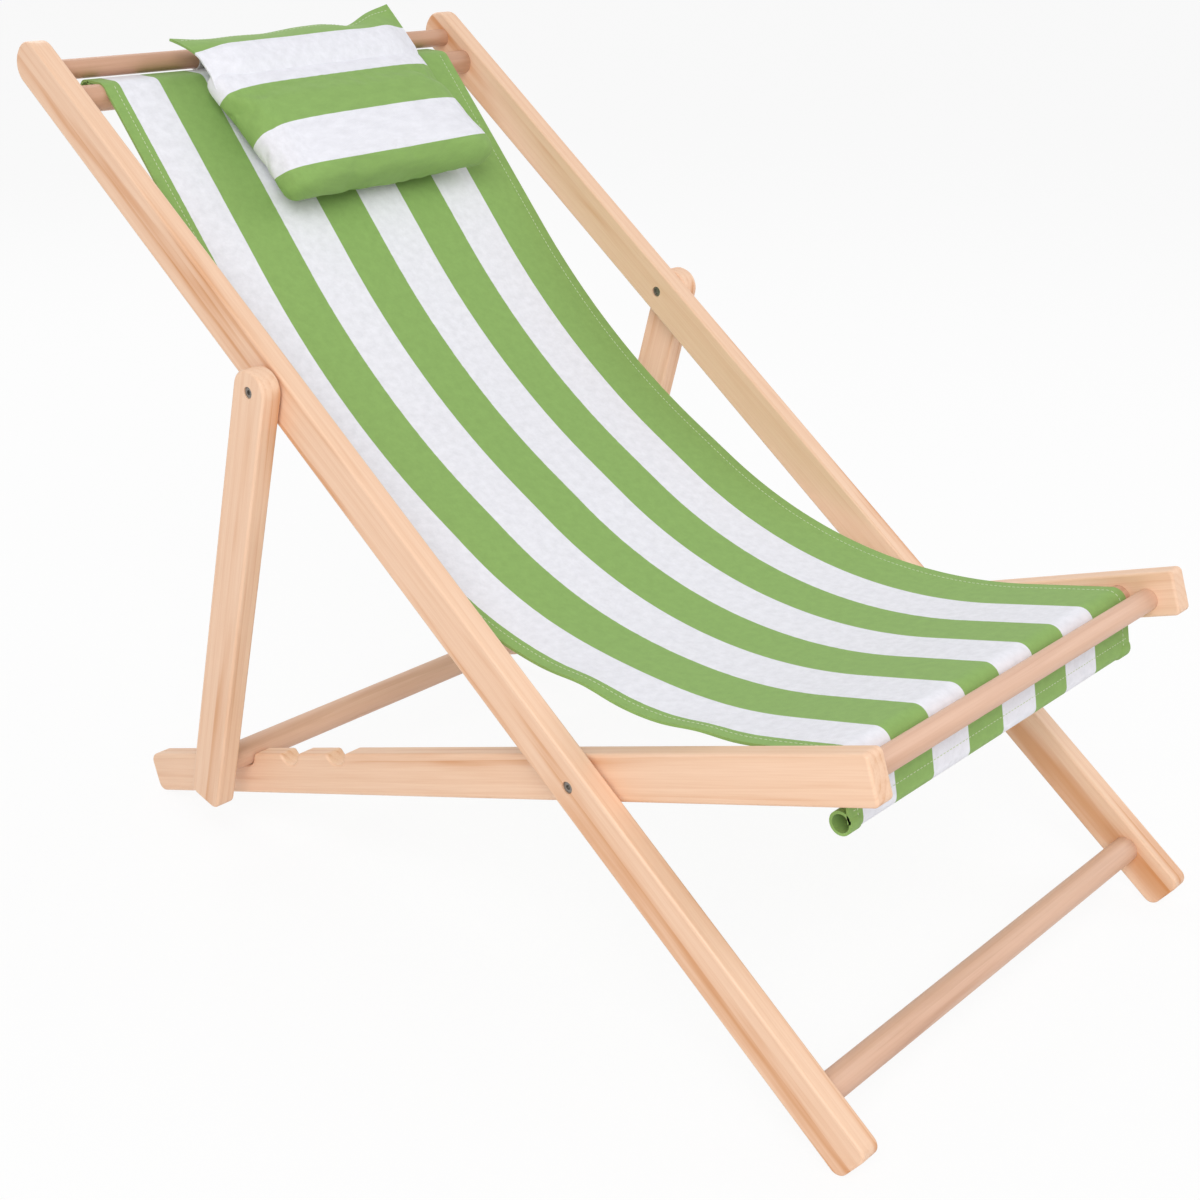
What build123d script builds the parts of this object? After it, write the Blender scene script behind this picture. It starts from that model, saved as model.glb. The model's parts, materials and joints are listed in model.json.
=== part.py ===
from build123d import *
import os
from math import asin, atan2, cos, degrees, hypot, radians, sin, sqrt, tan

# Folding beach chair: two crossed timber frames, a prop frame behind, a fabric sling and a head pillow.
# Millimetres, +Z up, the sitter faces -Y, the sitter's left hand is at +X.
# Every piece is drawn about the crossing pivot and moved onto the floor at the end.

# Timber section
RAIL_DEPTH = 40.0
RAIL_THICKNESS = 20.0
EDGE_ROUND = 2.5
SQUARE_END_ROUND = 9.0
ROUND_END_ROUND = 18.5
FRONT_END_ROUND = 5.0

# Back frame, measured along its rails from the crossing pivot
BACK_SLOPE = 37.0
BACK_WIDTH = 526.0
BACK_HEAD_LENGTH = 847.0
BACK_FOOT_LENGTH = 353.0
PROP_PIVOT_AT = 428.0
FOOT_BAR_FROM_END = 55.0
TOP_BAR_FROM_END = 29.0
TOP_BAR_SPACING = 39.0

# Seat frame, measured along its rails from the crossing pivot
SEAT_REAR_LENGTH = 640.0
SEAT_FRONT_LENGTH = 278.0
FRONT_BAR_FROM_END = 28.0
FRONT_BAR_SPACING = 26.0
FRONT_BAR_DROP = 4.0
FIRST_NOTCH_AT = 466.0
NOTCH_PITCH = 72.0
NOTCH_COUNT = 3
BAR_ABOVE_RAIL = 2.0
NOTCH_CLEARANCE = 0.4
NOTCH_MOUTH_ROUND = 4.0

# Prop frame
PROP_TOP_EXTENSION = 19.0
PROP_FOOT_EXTENSION = 40.0

# Round bars
FOOT_BAR_RADIUS = 12.0
LOWER_TOP_BAR_RADIUS = 12.0
UPPER_TOP_BAR_RADIUS = 9.0
FRONT_BAR_RADIUS = 10.0
SLING_BAR_RADIUS = 11.0
PROP_BAR_RADIUS = 13.0
SOCKET_DEPTH = 12.0
SOCKET_CLEARANCE = 0.1

# Pivot hardware
FRAME_GAP = 2.0
BOLT_RADIUS = 3.0
BOLT_CLEARANCE = 0.1
BOLT_HEAD_RADIUS = 4.8
BOLT_HEAD_THICKNESS = 2.6
BOLT_SOCKET_FLATS = 4.0
BOLT_SOCKET_DEPTH = 1.8
RECESS_DEPTH = 4.0
RECESS_CLEARANCE = 0.4
THREAD_CLEARANCE = 0.05
WASHER_RADIUS = 8.0
RUNNING_GAP = 0.3

# Sling
CLOTH = 1.6
CLOTH_GAP = 0.3
SLING_WIDTH = 428.0
ROD_RADIUS = 7.0
ROD_INSET = 12.0
TOP_ROD_HOLD = 4.0
BACK_SAG_AT = 430.0
BACK_SAG = 63.0
BACK_SAG_RADIUS = 800.0
SEAT_SAG_AT = 40.0
SEAT_SAG_ABOVE_RAIL = 39.0
SEAT_SAG_RADIUS = 480.0
HEM_ROD_BEHIND_BAR = 2.0
HEM_ROD_BELOW_RAIL = 41.0

# Head pillow
PILLOW_WIDTH = 268.0
PILLOW_LENGTH = 152.0
PILLOW_CROWN = 60.0
PILLOW_CREST_BELOW_TOP = 98.0
PILLOW_TOP_SHOULDER = 36.0
PILLOW_BOTTOM_SHOULDER = 50.0
PILLOW_BELOW_BAR = 4.0
PILLOW_ASIDE = 12.0
PILLOW_SIDE_DRAW = 5.0
PILLOW_END_BULGE = 0.8
PILLOW_FULLNESS = {1.0: 0.5, 0.96: 0.78, 0.88: 0.93, 0.6: 0.99}
PILLOW_FLANGE = 42.0
PILLOW_FLANGE_THICKNESS = 3.0
PILLOW_FLANGE_LIFT = 13.0
PILLOW_SEAM_LAP = 12.0
STRAP_SPACING = 180.0
STRAP_WIDTH = 20.0
STRAP_TAIL = 30.0

# Places worked out from the driving sizes
FOOT_BAR_AT = BACK_FOOT_LENGTH - FOOT_BAR_FROM_END
UPPER_TOP_BAR_AT = BACK_HEAD_LENGTH - TOP_BAR_FROM_END
LOWER_TOP_BAR_AT = UPPER_TOP_BAR_AT - TOP_BAR_SPACING
FRONT_BAR_AT = SEAT_FRONT_LENGTH - FRONT_BAR_FROM_END
SLING_BAR_AT = FRONT_BAR_AT - FRONT_BAR_SPACING
HEM_ROD_AT = SLING_BAR_AT - HEM_ROD_BEHIND_BAR
FRONT_BAR_PLACE = (-FRONT_BAR_AT, -FRONT_BAR_DROP)
HALF_DEPTH = RAIL_DEPTH / 2
BACK_OUTER_X = BACK_WIDTH / 2
BACK_INNER_X = BACK_OUTER_X - RAIL_THICKNESS
SEAT_OUTER_X = BACK_INNER_X - FRAME_GAP
SEAT_INNER_X = SEAT_OUTER_X - RAIL_THICKNESS
PROP_INNER_X = BACK_OUTER_X + FRAME_GAP
PROP_OUTER_X = PROP_INNER_X + RAIL_THICKNESS
SIDES = {"right": -1, "left": 1}


def pivot_height():
    """Height of the crossing pivot with the rounded feet of the back rails on the floor."""
    slope = radians(BACK_SLOPE)
    along = BACK_FOOT_LENGTH - SQUARE_END_ROUND
    across = HALF_DEPTH - SQUARE_END_ROUND
    return along * sin(slope) + across * cos(slope) + SQUARE_END_ROUND


def seat_slope():
    """Slope that puts the rear ends of the seat rails on the same floor."""
    along = SEAT_REAR_LENGTH - SQUARE_END_ROUND
    across = HALF_DEPTH - SQUARE_END_ROUND
    drop = pivot_height() - SQUARE_END_ROUND
    return degrees(asin(drop / hypot(along, across)) - atan2(across, along))


def side_plane(origin, angle):
    """Side plane whose local x runs at an angle above +Y and whose normal is +X."""
    turn = radians(angle)
    return Plane(origin=origin, x_dir=(0, cos(turn), sin(turn)), z_dir=(1, 0, 0))


PIVOT = (0, 0, pivot_height())
BACK = side_plane(PIVOT, BACK_SLOPE)
SEAT = side_plane(PIVOT, -seat_slope())

PROP_PIVOT = BACK.from_local_coords((PROP_PIVOT_AT, 0, 0))
PROP_BAR = SEAT.from_local_coords((FIRST_NOTCH_AT, HALF_DEPTH + BAR_ABOVE_RAIL, 0))
PROP_REACH = (PROP_BAR - PROP_PIVOT).length
PROP_ANGLE = degrees(atan2(PROP_BAR.Z - PROP_PIVOT.Z, PROP_BAR.Y - PROP_PIVOT.Y))
PROP = side_plane(PROP_PIVOT, PROP_ANGLE)


def rail_outline(low, high, low_round, high_round):
    """Rail outline along local x, with its own corner radius at each end."""
    outline = Pos((low + high) / 2, 0) * Rectangle(high - low, RAIL_DEPTH)
    outline = fillet(outline.vertices().sort_by(Axis.X)[:2], low_round)
    return fillet(outline.vertices().sort_by(Axis.X)[-2:], high_round)


def plank(plane, outline, side, inner_x):
    """Timber cut from a side outline, one thickness outwards from inner_x, with its edges eased."""
    low_x = inner_x if side > 0 else -inner_x - RAIL_THICKNESS
    blank = extrude(plane.offset(low_x) * outline, amount=RAIL_THICKNESS)
    return fillet(blank.faces().filter_by(Axis.X).edges(), EDGE_ROUND)


def round_along_x(plane, place, radius, x_from, x_to):
    """Round bar or drill along X through a point of a side plane."""
    disc = plane.offset(min(x_from, x_to)) * Pos(*place) * Circle(radius)
    return extrude(disc, amount=abs(x_to - x_from))


def crossbar(plane, place, radius, inner_x):
    """Round bar that seats on the bottoms of its two blind sockets."""
    reach = inner_x + SOCKET_DEPTH
    return round_along_x(plane, place, radius, -reach, reach)


def socket(plane, place, radius, side, inner_x):
    """Blind socket for one end of a crossbar."""
    reach = inner_x + SOCKET_DEPTH
    return round_along_x(plane, place, radius + SOCKET_CLEARANCE, 0, side * reach)


def bolt_hole(plane, place, side, inner_x, recess_x, recess_inwards):
    """Drill for a pivot bolt through one timber, with a recess sunk from the face at recess_x."""
    outer_x = inner_x + RAIL_THICKNESS
    drill = round_along_x(plane, place, BOLT_RADIUS + BOLT_CLEARANCE, side * inner_x, side * outer_x)
    recess_floor = recess_x + RECESS_DEPTH * recess_inwards
    recess_radius = BOLT_HEAD_RADIUS + RECESS_CLEARANCE
    return drill + round_along_x(plane, place, recess_radius, side * recess_x, side * recess_floor)


# Notches in the top edge of the seat rails

def notched_outline():
    """Seat rail outline with slots that lean along the prop, so that its bar is pressed home."""
    outline = rail_outline(-SEAT_FRONT_LENGTH, SEAT_REAR_LENGTH, FRONT_END_ROUND, SQUARE_END_ROUND)
    lean = PROP_ANGLE + 180.0 + seat_slope()
    slot_radius = PROP_BAR_RADIUS + NOTCH_CLEARANCE
    slot_length = 2 * RAIL_DEPTH
    mouth = Pos(slot_length / 2, 0) * Rectangle(slot_length, 2 * slot_radius)
    slot = Circle(slot_radius) + Rot(0, 0, lean) * mouth
    first_at = FIRST_NOTCH_AT - NOTCH_PITCH * (NOTCH_COUNT - 1)
    for number in range(NOTCH_COUNT):
        notch_at = first_at + NOTCH_PITCH * number
        outline -= Pos(notch_at, HALF_DEPTH + BAR_ABOVE_RAIL) * slot
    low_mouth = first_at - RAIL_DEPTH
    high_mouth = FIRST_NOTCH_AT + RAIL_DEPTH
    top_edge = outline.vertices().group_by(Axis.Y)[-1]
    return fillet(top_edge.filter_by_position(Axis.X, low_mouth, high_mouth), NOTCH_MOUTH_ROUND)


# Timber pieces

def back_rail(side):
    """Rail that runs from the front foot to the head."""
    outline = rail_outline(-BACK_FOOT_LENGTH, BACK_HEAD_LENGTH, SQUARE_END_ROUND, ROUND_END_ROUND)
    rail = plank(BACK, outline, side, BACK_INNER_X)
    rail -= socket(BACK, (-FOOT_BAR_AT, 0), FOOT_BAR_RADIUS, side, BACK_INNER_X)
    rail -= socket(BACK, (LOWER_TOP_BAR_AT, 0), LOWER_TOP_BAR_RADIUS, side, BACK_INNER_X)
    rail -= socket(BACK, (UPPER_TOP_BAR_AT, 0), UPPER_TOP_BAR_RADIUS, side, BACK_INNER_X)
    rail -= bolt_hole(BACK, (0, 0), side, BACK_INNER_X, BACK_OUTER_X, -1)
    return rail - bolt_hole(BACK, (PROP_PIVOT_AT, 0), side, BACK_INNER_X, BACK_INNER_X, 1)


def seat_rail(side):
    """Rail that runs from the rear foot to the front of the seat."""
    rail = plank(SEAT, notched_outline(), side, SEAT_INNER_X)
    rail -= socket(SEAT, FRONT_BAR_PLACE, FRONT_BAR_RADIUS, side, SEAT_INNER_X)
    rail -= socket(SEAT, (-SLING_BAR_AT, 0), SLING_BAR_RADIUS, side, SEAT_INNER_X)
    return rail - bolt_hole(SEAT, (0, 0), side, SEAT_INNER_X, SEAT_INNER_X, 1)


def prop_leg(side):
    """Leg that hangs from the back rail and carries the bar that sits in the notches."""
    foot = PROP_REACH + PROP_FOOT_EXTENSION
    outline = rail_outline(-PROP_TOP_EXTENSION, foot, ROUND_END_ROUND, SQUARE_END_ROUND)
    leg = plank(PROP, outline, side, PROP_INNER_X)
    leg -= socket(PROP, (PROP_REACH, 0), PROP_BAR_RADIUS, side, PROP_INNER_X)
    return leg - bolt_hole(PROP, (0, 0), side, PROP_INNER_X, PROP_OUTER_X, -1)


# Pivot hardware

def pivot_bolt(place, side, outer_x, inner_x, head_gap, nut_gap):
    """Round-headed bolt with a hexagon socket, sunk below the outer timber face."""
    head_low = outer_x - RECESS_DEPTH + head_gap
    head_high = head_low + BOLT_HEAD_THICKNESS
    shank_end = inner_x + RECESS_DEPTH - nut_gap - BOLT_HEAD_THICKNESS / 2
    bolt = round_along_x(BACK, place, BOLT_HEAD_RADIUS, side * head_low, side * head_high)
    bolt += round_along_x(BACK, place, BOLT_RADIUS, side * shank_end, side * head_low)
    socket_low = min(side * head_high, side * (head_high - BOLT_SOCKET_DEPTH))
    hexagon = RegularPolygon(BOLT_SOCKET_FLATS / 2, 6, major_radius=False)
    return bolt - extrude(BACK.offset(socket_low) * Pos(*place) * hexagon, amount=BOLT_SOCKET_DEPTH)


def pivot_nut(place, side, inner_x, nut_gap):
    """Round nut sunk below the inner timber face."""
    high_x = inner_x + RECESS_DEPTH - nut_gap
    low_x = high_x - BOLT_HEAD_THICKNESS
    nut = round_along_x(BACK, place, BOLT_HEAD_RADIUS, side * low_x, side * high_x)
    bore_radius = BOLT_RADIUS + THREAD_CLEARANCE
    return nut - round_along_x(BACK, place, bore_radius, side * low_x, side * high_x)


def pivot_washer(place, side, seat_x, free_x):
    """Washer that seats on the back rail and leaves a running gap to the timber that turns on it."""
    washer = round_along_x(BACK, place, WASHER_RADIUS, side * seat_x, side * free_x)
    bore_radius = BOLT_RADIUS + BOLT_CLEARANCE
    return washer - round_along_x(BACK, place, bore_radius, side * seat_x, side * free_x)


# Sling route in the side plane

def flat(point):
    """A side-plane point as a flat vector, Y then Z."""
    return Vector(point.Y, point.Z)


def turned(direction, angle):
    """Flat vector turned anticlockwise by an angle in radians."""
    return Vector(
        direction.X * cos(angle) - direction.Y * sin(angle),
        direction.X * sin(angle) + direction.Y * cos(angle),
    )


def touch_from(point, centre, radius, hand):
    """Where a line from a point touches a circle, which lies on the given hand of the line."""
    away = centre - point
    reach = sqrt(away.length ** 2 - radius ** 2)
    return point + turned(away.normalized(), -hand * asin(radius / away.length)) * reach


def shared_touch(first, first_radius, second, second_radius, hand):
    """Where one line touches two circles that both lie on the given hand of it."""
    span = second - first
    lean = asin((second_radius - first_radius) / span.length)
    normal = turned(span.normalized(), -hand * (radians(90.0) + lean))
    return first + normal * first_radius, second + normal * second_radius


def arc_about(centre, start, end):
    """Arc of under a half turn about a centre."""
    middle = ((start - centre) + (end - centre)).normalized() * (start - centre).length
    return ThreePointArc(start, centre + middle, end)


def rounded_corner(before, corner, after, radius):
    """Arc that rounds a corner of the route, with its two ends."""
    inward = (before - corner).normalized()
    outward = (after - corner).normalized()
    half_angle = atan2((inward + outward).length, (inward - outward).length)
    start = corner + inward * (radius * tan(half_angle))
    end = corner + outward * (radius * tan(half_angle))
    centre = corner + (inward + outward).normalized() * (radius / cos(half_angle))
    return start, arc_about(centre, start, end), end


HEM_SLEEVE_RADIUS = ROD_RADIUS + CLOTH_GAP + CLOTH / 2
STRAP_RADIUS = UPPER_TOP_BAR_RADIUS + CLOTH_GAP + CLOTH / 2
STRAP_OUTER_RADIUS = STRAP_RADIUS + CLOTH / 2
TOP_BAR_OPENING = TOP_BAR_SPACING - LOWER_TOP_BAR_RADIUS - STRAP_OUTER_RADIUS
TOP_SLEEVE_REACH = (TOP_BAR_OPENING + TOP_ROD_HOLD) / 2
TOP_SLEEVE_RADIUS = TOP_SLEEVE_REACH - CLOTH_GAP - CLOTH / 2
TOP_ROD_RADIUS = TOP_SLEEVE_RADIUS - CLOTH / 2 - CLOTH_GAP
LOWER_TOP_BAR = flat(BACK.from_local_coords((LOWER_TOP_BAR_AT, 0, 0)))
UPPER_TOP_BAR = flat(BACK.from_local_coords((UPPER_TOP_BAR_AT, 0, 0)))
SLING_BAR = flat(SEAT.from_local_coords((-SLING_BAR_AT, 0, 0)))
HEM_ROD = flat(SEAT.from_local_coords((-HEM_ROD_AT, -HEM_ROD_BELOW_RAIL, 0)))


def top_rod_centre():
    """Behind the top bars, where the sleeve is too thick to slip through between them."""
    to_lower = TOP_SLEEVE_REACH + LOWER_TOP_BAR_RADIUS
    to_upper = TOP_SLEEVE_REACH + STRAP_OUTER_RADIUS
    along = (to_lower ** 2 - to_upper ** 2 + TOP_BAR_SPACING ** 2) / (2 * TOP_BAR_SPACING)
    behind = sqrt(to_lower ** 2 - along ** 2)
    return flat(BACK.from_local_coords((LOWER_TOP_BAR_AT + along, -behind, 0)))


TOP_ROD = top_rod_centre()
TOP_WRAP_RADIUS = LOWER_TOP_BAR_RADIUS + CLOTH_GAP + CLOTH / 2
FRONT_WRAP_RADIUS = SLING_BAR_RADIUS + CLOTH_GAP + CLOTH / 2
BACK_KNEE = flat(BACK.from_local_coords((BACK_SAG_AT, -BACK_SAG, 0)))
SEAT_KNEE = flat(SEAT.from_local_coords((SEAT_SAG_AT, SEAT_SAG_ABOVE_RAIL, 0)))
TOP_TOUCH = touch_from(BACK_KNEE, LOWER_TOP_BAR, TOP_WRAP_RADIUS, -1)
FRONT_TOUCH = touch_from(SEAT_KNEE, SLING_BAR, FRONT_WRAP_RADIUS, 1)


def sling_route():
    """Middle line of the cloth from the top sleeve, over the two sling bars, to the hem sleeve."""
    sleeve_end, bar_start = shared_touch(TOP_ROD, TOP_SLEEVE_RADIUS, LOWER_TOP_BAR, TOP_WRAP_RADIUS, 1)
    back_start, back_arc, back_end = rounded_corner(TOP_TOUCH, BACK_KNEE, SEAT_KNEE, BACK_SAG_RADIUS)
    seat_start, seat_arc, seat_end = rounded_corner(BACK_KNEE, SEAT_KNEE, FRONT_TOUCH, SEAT_SAG_RADIUS)
    bar_end, hem_start = shared_touch(SLING_BAR, FRONT_WRAP_RADIUS, HEM_ROD, HEM_SLEEVE_RADIUS, 1)
    return [
        Line(sleeve_end, bar_start),
        arc_about(LOWER_TOP_BAR, bar_start, TOP_TOUCH),
        Line(TOP_TOUCH, back_start),
        back_arc,
        Line(back_end, seat_start),
        seat_arc,
        Line(seat_end, FRONT_TOUCH),
        arc_about(SLING_BAR, FRONT_TOUCH, bar_end),
        Line(bar_end, hem_start),
    ]


def sleeve(centre, radius):
    """Ring of cloth about a rod or a bar."""
    ring = Circle(radius + CLOTH / 2) - Circle(radius - CLOTH / 2)
    return Pos(centre.X, centre.Y) * ring


def cloth_solid(section, low_x, width):
    """Cloth of one thickness that keeps the same section across its width."""
    return extrude(Plane.YZ.offset(low_x) * section, amount=width)


def sling():
    """Fabric seat with a rod sleeve at each end."""
    section = trace(sling_route(), line_width=CLOTH)
    for rod, radius in ((TOP_ROD, TOP_SLEEVE_RADIUS), (HEM_ROD, HEM_SLEEVE_RADIUS)):
        section += sleeve(rod, radius)
        section -= Pos(rod.X, rod.Y) * Circle(radius - CLOTH / 2)
    return cloth_solid(section, -SLING_WIDTH / 2, SLING_WIDTH)


def sling_rod(centre, radius):
    """Rod, a little shorter than its sleeve, that keeps the sling from pulling through between its bars."""
    rod_length = SLING_WIDTH - 2 * ROD_INSET
    disc = Pos(centre.X, centre.Y) * Circle(radius)
    return extrude(Plane.YZ.offset(-rod_length / 2) * disc, amount=rod_length)


# Head pillow

SLING_RUN = (BACK_KNEE - TOP_TOUCH).normalized()
PILLOW_ORIGIN = (PILLOW_ASIDE, TOP_TOUCH.X, TOP_TOUCH.Y)
PILLOW_PLANE = Plane(origin=PILLOW_ORIGIN, x_dir=(0, SLING_RUN.X, SLING_RUN.Y), z_dir=(-1, 0, 0))
STRAP_LAYER = CLOTH / 2 + CLOTH_GAP
PILLOW_BACK = STRAP_LAYER + CLOTH + CLOTH_GAP


def pillow_section(station, draw, fullness):
    """Closed section of the pillow at one station across its width: a flat back and three arcs."""
    top = PILLOW_BELOW_BAR - draw
    bottom = PILLOW_BELOW_BAR + PILLOW_LENGTH + draw
    crest = (PILLOW_BELOW_BAR + PILLOW_CREST_BELOW_TOP, PILLOW_BACK + PILLOW_CROWN * fullness)
    top_waist = PILLOW_TOP_SHOULDER * fullness / 2
    bottom_waist = PILLOW_BOTTOM_SHOULDER * fullness / 2
    back_top = (top + top_waist * PILLOW_END_BULGE, PILLOW_BACK)
    back_bottom = (bottom - bottom_waist * PILLOW_END_BULGE, PILLOW_BACK)
    front_top = (back_top[0], PILLOW_BACK + 2 * top_waist)
    front_bottom = (back_bottom[0], PILLOW_BACK + 2 * bottom_waist)
    outline = Line(back_top, back_bottom)
    outline += ThreePointArc(back_bottom, (bottom, PILLOW_BACK + bottom_waist), front_bottom)
    outline += ThreePointArc(front_bottom, crest, front_top)
    outline += ThreePointArc(front_top, (top, PILLOW_BACK + top_waist), back_top)
    return PILLOW_PLANE.offset(station) * make_face(outline)


def pillow():
    """Stuffed pillow, crowned and drawn in between its corners, with a flat flange along its top edge."""
    half = PILLOW_WIDTH / 2
    near_side = []
    for share, fullness in PILLOW_FULLNESS.items():
        near_side.append((-half * share, PILLOW_SIDE_DRAW * share ** 4, fullness))
    far_side = [(-station, draw, fullness) for station, draw, fullness in reversed(near_side)]
    stations = near_side + [(0.0, 0.0, 1.0)] + far_side
    body = loft([pillow_section(*station) for station in stations])
    flange_low = PILLOW_BELOW_BAR + PILLOW_SEAM_LAP
    flange_high = PILLOW_BELOW_BAR - PILLOW_FLANGE
    flange_outline = Pos((flange_low + flange_high) / 2, PILLOW_BACK + PILLOW_FLANGE_LIFT)
    flange_outline *= Rectangle(flange_low - flange_high, PILLOW_FLANGE_THICKNESS)
    flange_width = PILLOW_WIDTH - 2 * PILLOW_SIDE_DRAW
    return body + extrude(PILLOW_PLANE.offset(-flange_width / 2) * flange_outline, amount=flange_width)


def pillow_strap(side):
    """Elastic loop round the upper top bar whose tail lies between the sling and the pillow."""
    tail_radius = TOP_WRAP_RADIUS + CLOTH + CLOTH_GAP
    loop_end, bar_start = shared_touch(UPPER_TOP_BAR, STRAP_RADIUS, LOWER_TOP_BAR, tail_radius, 1)
    bar_end = LOWER_TOP_BAR + (TOP_TOUCH - LOWER_TOP_BAR).normalized() * tail_radius
    tail_end = bar_end + SLING_RUN * (PILLOW_BELOW_BAR + STRAP_TAIL)
    tail = [Line(loop_end, bar_start), arc_about(LOWER_TOP_BAR, bar_start, bar_end), Line(bar_end, tail_end)]
    section = trace(tail, line_width=CLOTH)
    section += sleeve(UPPER_TOP_BAR, STRAP_RADIUS)
    section -= Pos(UPPER_TOP_BAR.X, UPPER_TOP_BAR.Y) * Circle(STRAP_RADIUS - CLOTH / 2)
    middle = PILLOW_ASIDE + side * STRAP_SPACING / 2
    return cloth_solid(section, middle - STRAP_WIDTH / 2, STRAP_WIDTH)


# Assembly

def chair_pieces():
    """Every piece by its node name, drawn about the crossing pivot."""
    pieces = {
        "foot_crossbar": crossbar(BACK, (-FOOT_BAR_AT, 0), FOOT_BAR_RADIUS, BACK_INNER_X),
        "top_crossbar_lower": crossbar(BACK, (LOWER_TOP_BAR_AT, 0), LOWER_TOP_BAR_RADIUS, BACK_INNER_X),
        "top_crossbar_upper": crossbar(BACK, (UPPER_TOP_BAR_AT, 0), UPPER_TOP_BAR_RADIUS, BACK_INNER_X),
        "front_crossbar": crossbar(SEAT, FRONT_BAR_PLACE, FRONT_BAR_RADIUS, SEAT_INNER_X),
        "sling_crossbar": crossbar(SEAT, (-SLING_BAR_AT, 0), SLING_BAR_RADIUS, SEAT_INNER_X),
        "prop_crossbar": crossbar(PROP, (PROP_REACH, 0), PROP_BAR_RADIUS, PROP_INNER_X),
        "sling": sling(),
        "sling_top_rod": sling_rod(TOP_ROD, TOP_ROD_RADIUS),
        "sling_hem_rod": sling_rod(HEM_ROD, ROD_RADIUS),
        "pillow": pillow(),
    }
    seat_place = (0, 0)
    prop_place = (PROP_PIVOT_AT, 0)
    seat_face = SEAT_OUTER_X + RUNNING_GAP
    prop_face = PROP_INNER_X - RUNNING_GAP
    for name, side in SIDES.items():
        pieces[f"back_rail_{name}"] = back_rail(side)
        pieces[f"seat_rail_{name}"] = seat_rail(side)
        pieces[f"prop_leg_{name}"] = prop_leg(side)
        seat = f"seat_pivot_{{}}_{name}"
        pieces[seat.format("bolt")] = pivot_bolt(seat_place, side, BACK_OUTER_X, SEAT_INNER_X, 0, RUNNING_GAP)
        pieces[seat.format("nut")] = pivot_nut(seat_place, side, SEAT_INNER_X, RUNNING_GAP)
        pieces[seat.format("washer")] = pivot_washer(seat_place, side, BACK_INNER_X, seat_face)
        prop = f"prop_pivot_{{}}_{name}"
        pieces[prop.format("bolt")] = pivot_bolt(prop_place, side, PROP_OUTER_X, BACK_INNER_X, RUNNING_GAP, 0)
        pieces[prop.format("nut")] = pivot_nut(prop_place, side, BACK_INNER_X, 0)
        pieces[prop.format("washer")] = pivot_washer(prop_place, side, BACK_OUTER_X, prop_face)
        pieces[f"pillow_strap_{name}"] = pillow_strap(side)
    return pieces


def main():
    """Stand the chair on the floor, centred under its own box, and write one file for each piece."""
    pieces = chair_pieces()
    box = Compound(children=[Compound([*piece.solids()]) for piece in pieces.values()]).bounding_box()
    shift = Pos(-(box.min.X + box.max.X) / 2, -(box.min.Y + box.max.Y) / 2, -box.min.Z)
    os.makedirs("parts", exist_ok=True)
    for name, piece in pieces.items():
        export_step(shift * piece, f"parts/{name}.step")
    prop_fold = 180.0 - BACK_SLOPE + PROP_ANGLE
    prop_stop = degrees(asin((HALF_DEPTH + PROP_BAR_RADIUS + RUNNING_GAP) / PROP_REACH))
    print("box", box.size)
    print("crossing pivot", shift.position + Vector(*PIVOT))
    print("prop pivot", shift.position + PROP_PIVOT)
    print("seat slope", seat_slope(), "prop reach", PROP_REACH, "prop angle", PROP_ANGLE)
    print("prop swing to the back rails", prop_fold, prop_stop)


main()
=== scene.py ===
"""Looks of the folding beach chair: lacquered pine, a striped sling, a head pillow and their stitching."""

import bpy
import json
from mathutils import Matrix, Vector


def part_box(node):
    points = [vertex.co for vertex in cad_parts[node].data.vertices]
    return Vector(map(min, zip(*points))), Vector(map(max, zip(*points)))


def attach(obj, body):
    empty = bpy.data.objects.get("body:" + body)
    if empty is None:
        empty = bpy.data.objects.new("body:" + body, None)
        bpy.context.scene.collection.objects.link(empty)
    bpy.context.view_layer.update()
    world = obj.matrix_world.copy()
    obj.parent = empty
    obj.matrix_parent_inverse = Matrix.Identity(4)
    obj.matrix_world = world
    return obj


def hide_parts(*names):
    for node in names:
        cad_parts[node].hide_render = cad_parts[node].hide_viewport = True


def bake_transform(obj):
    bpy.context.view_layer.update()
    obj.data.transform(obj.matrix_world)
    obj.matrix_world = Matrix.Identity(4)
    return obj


bl_info = {
    "name": "Folding Beach Chair",
    "version": (1, 0, 0),
    "blender": (4, 5, 0),
    "location": "View3D > Sidebar > Beach Chair",
    "description": "Dresses the chair in lacquered pine, a striped canvas sling, a head pillow and stitching",
    "category": "Object",
}

import json
import math

import bmesh
import bpy
import numpy as np
from bpy.props import FloatProperty, FloatVectorProperty, PointerProperty
from mathutils import Matrix, Vector

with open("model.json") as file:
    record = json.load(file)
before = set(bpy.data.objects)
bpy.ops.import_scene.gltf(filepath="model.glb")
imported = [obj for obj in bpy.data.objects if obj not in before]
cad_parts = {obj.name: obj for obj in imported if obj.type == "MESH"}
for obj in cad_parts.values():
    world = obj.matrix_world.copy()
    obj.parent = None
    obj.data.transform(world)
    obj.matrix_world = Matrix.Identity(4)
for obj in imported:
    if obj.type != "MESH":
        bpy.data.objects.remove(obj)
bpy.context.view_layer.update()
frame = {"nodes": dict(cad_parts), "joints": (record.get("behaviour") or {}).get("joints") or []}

MM = 0.001
SIDES = {"right": -1, "left": 1}


def linear(code):
    """Linear RGBA of an sRGB hex colour."""
    channels = [int(code[at:at + 2], 16) / 255 for at in (1, 3, 5)]
    return [c / 12.92 if c <= 0.04045 else ((c + 0.055) / 1.055) ** 2.4 for c in channels] + [1.0]


# Places read from the frame

def centre_of(node):
    """Middle of a node's box."""
    low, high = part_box(node)
    return (low + high) / 2


def side_of(point):
    """A point seen from the side, as Y and Z."""
    return Vector((point[1], point[2]))


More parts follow.
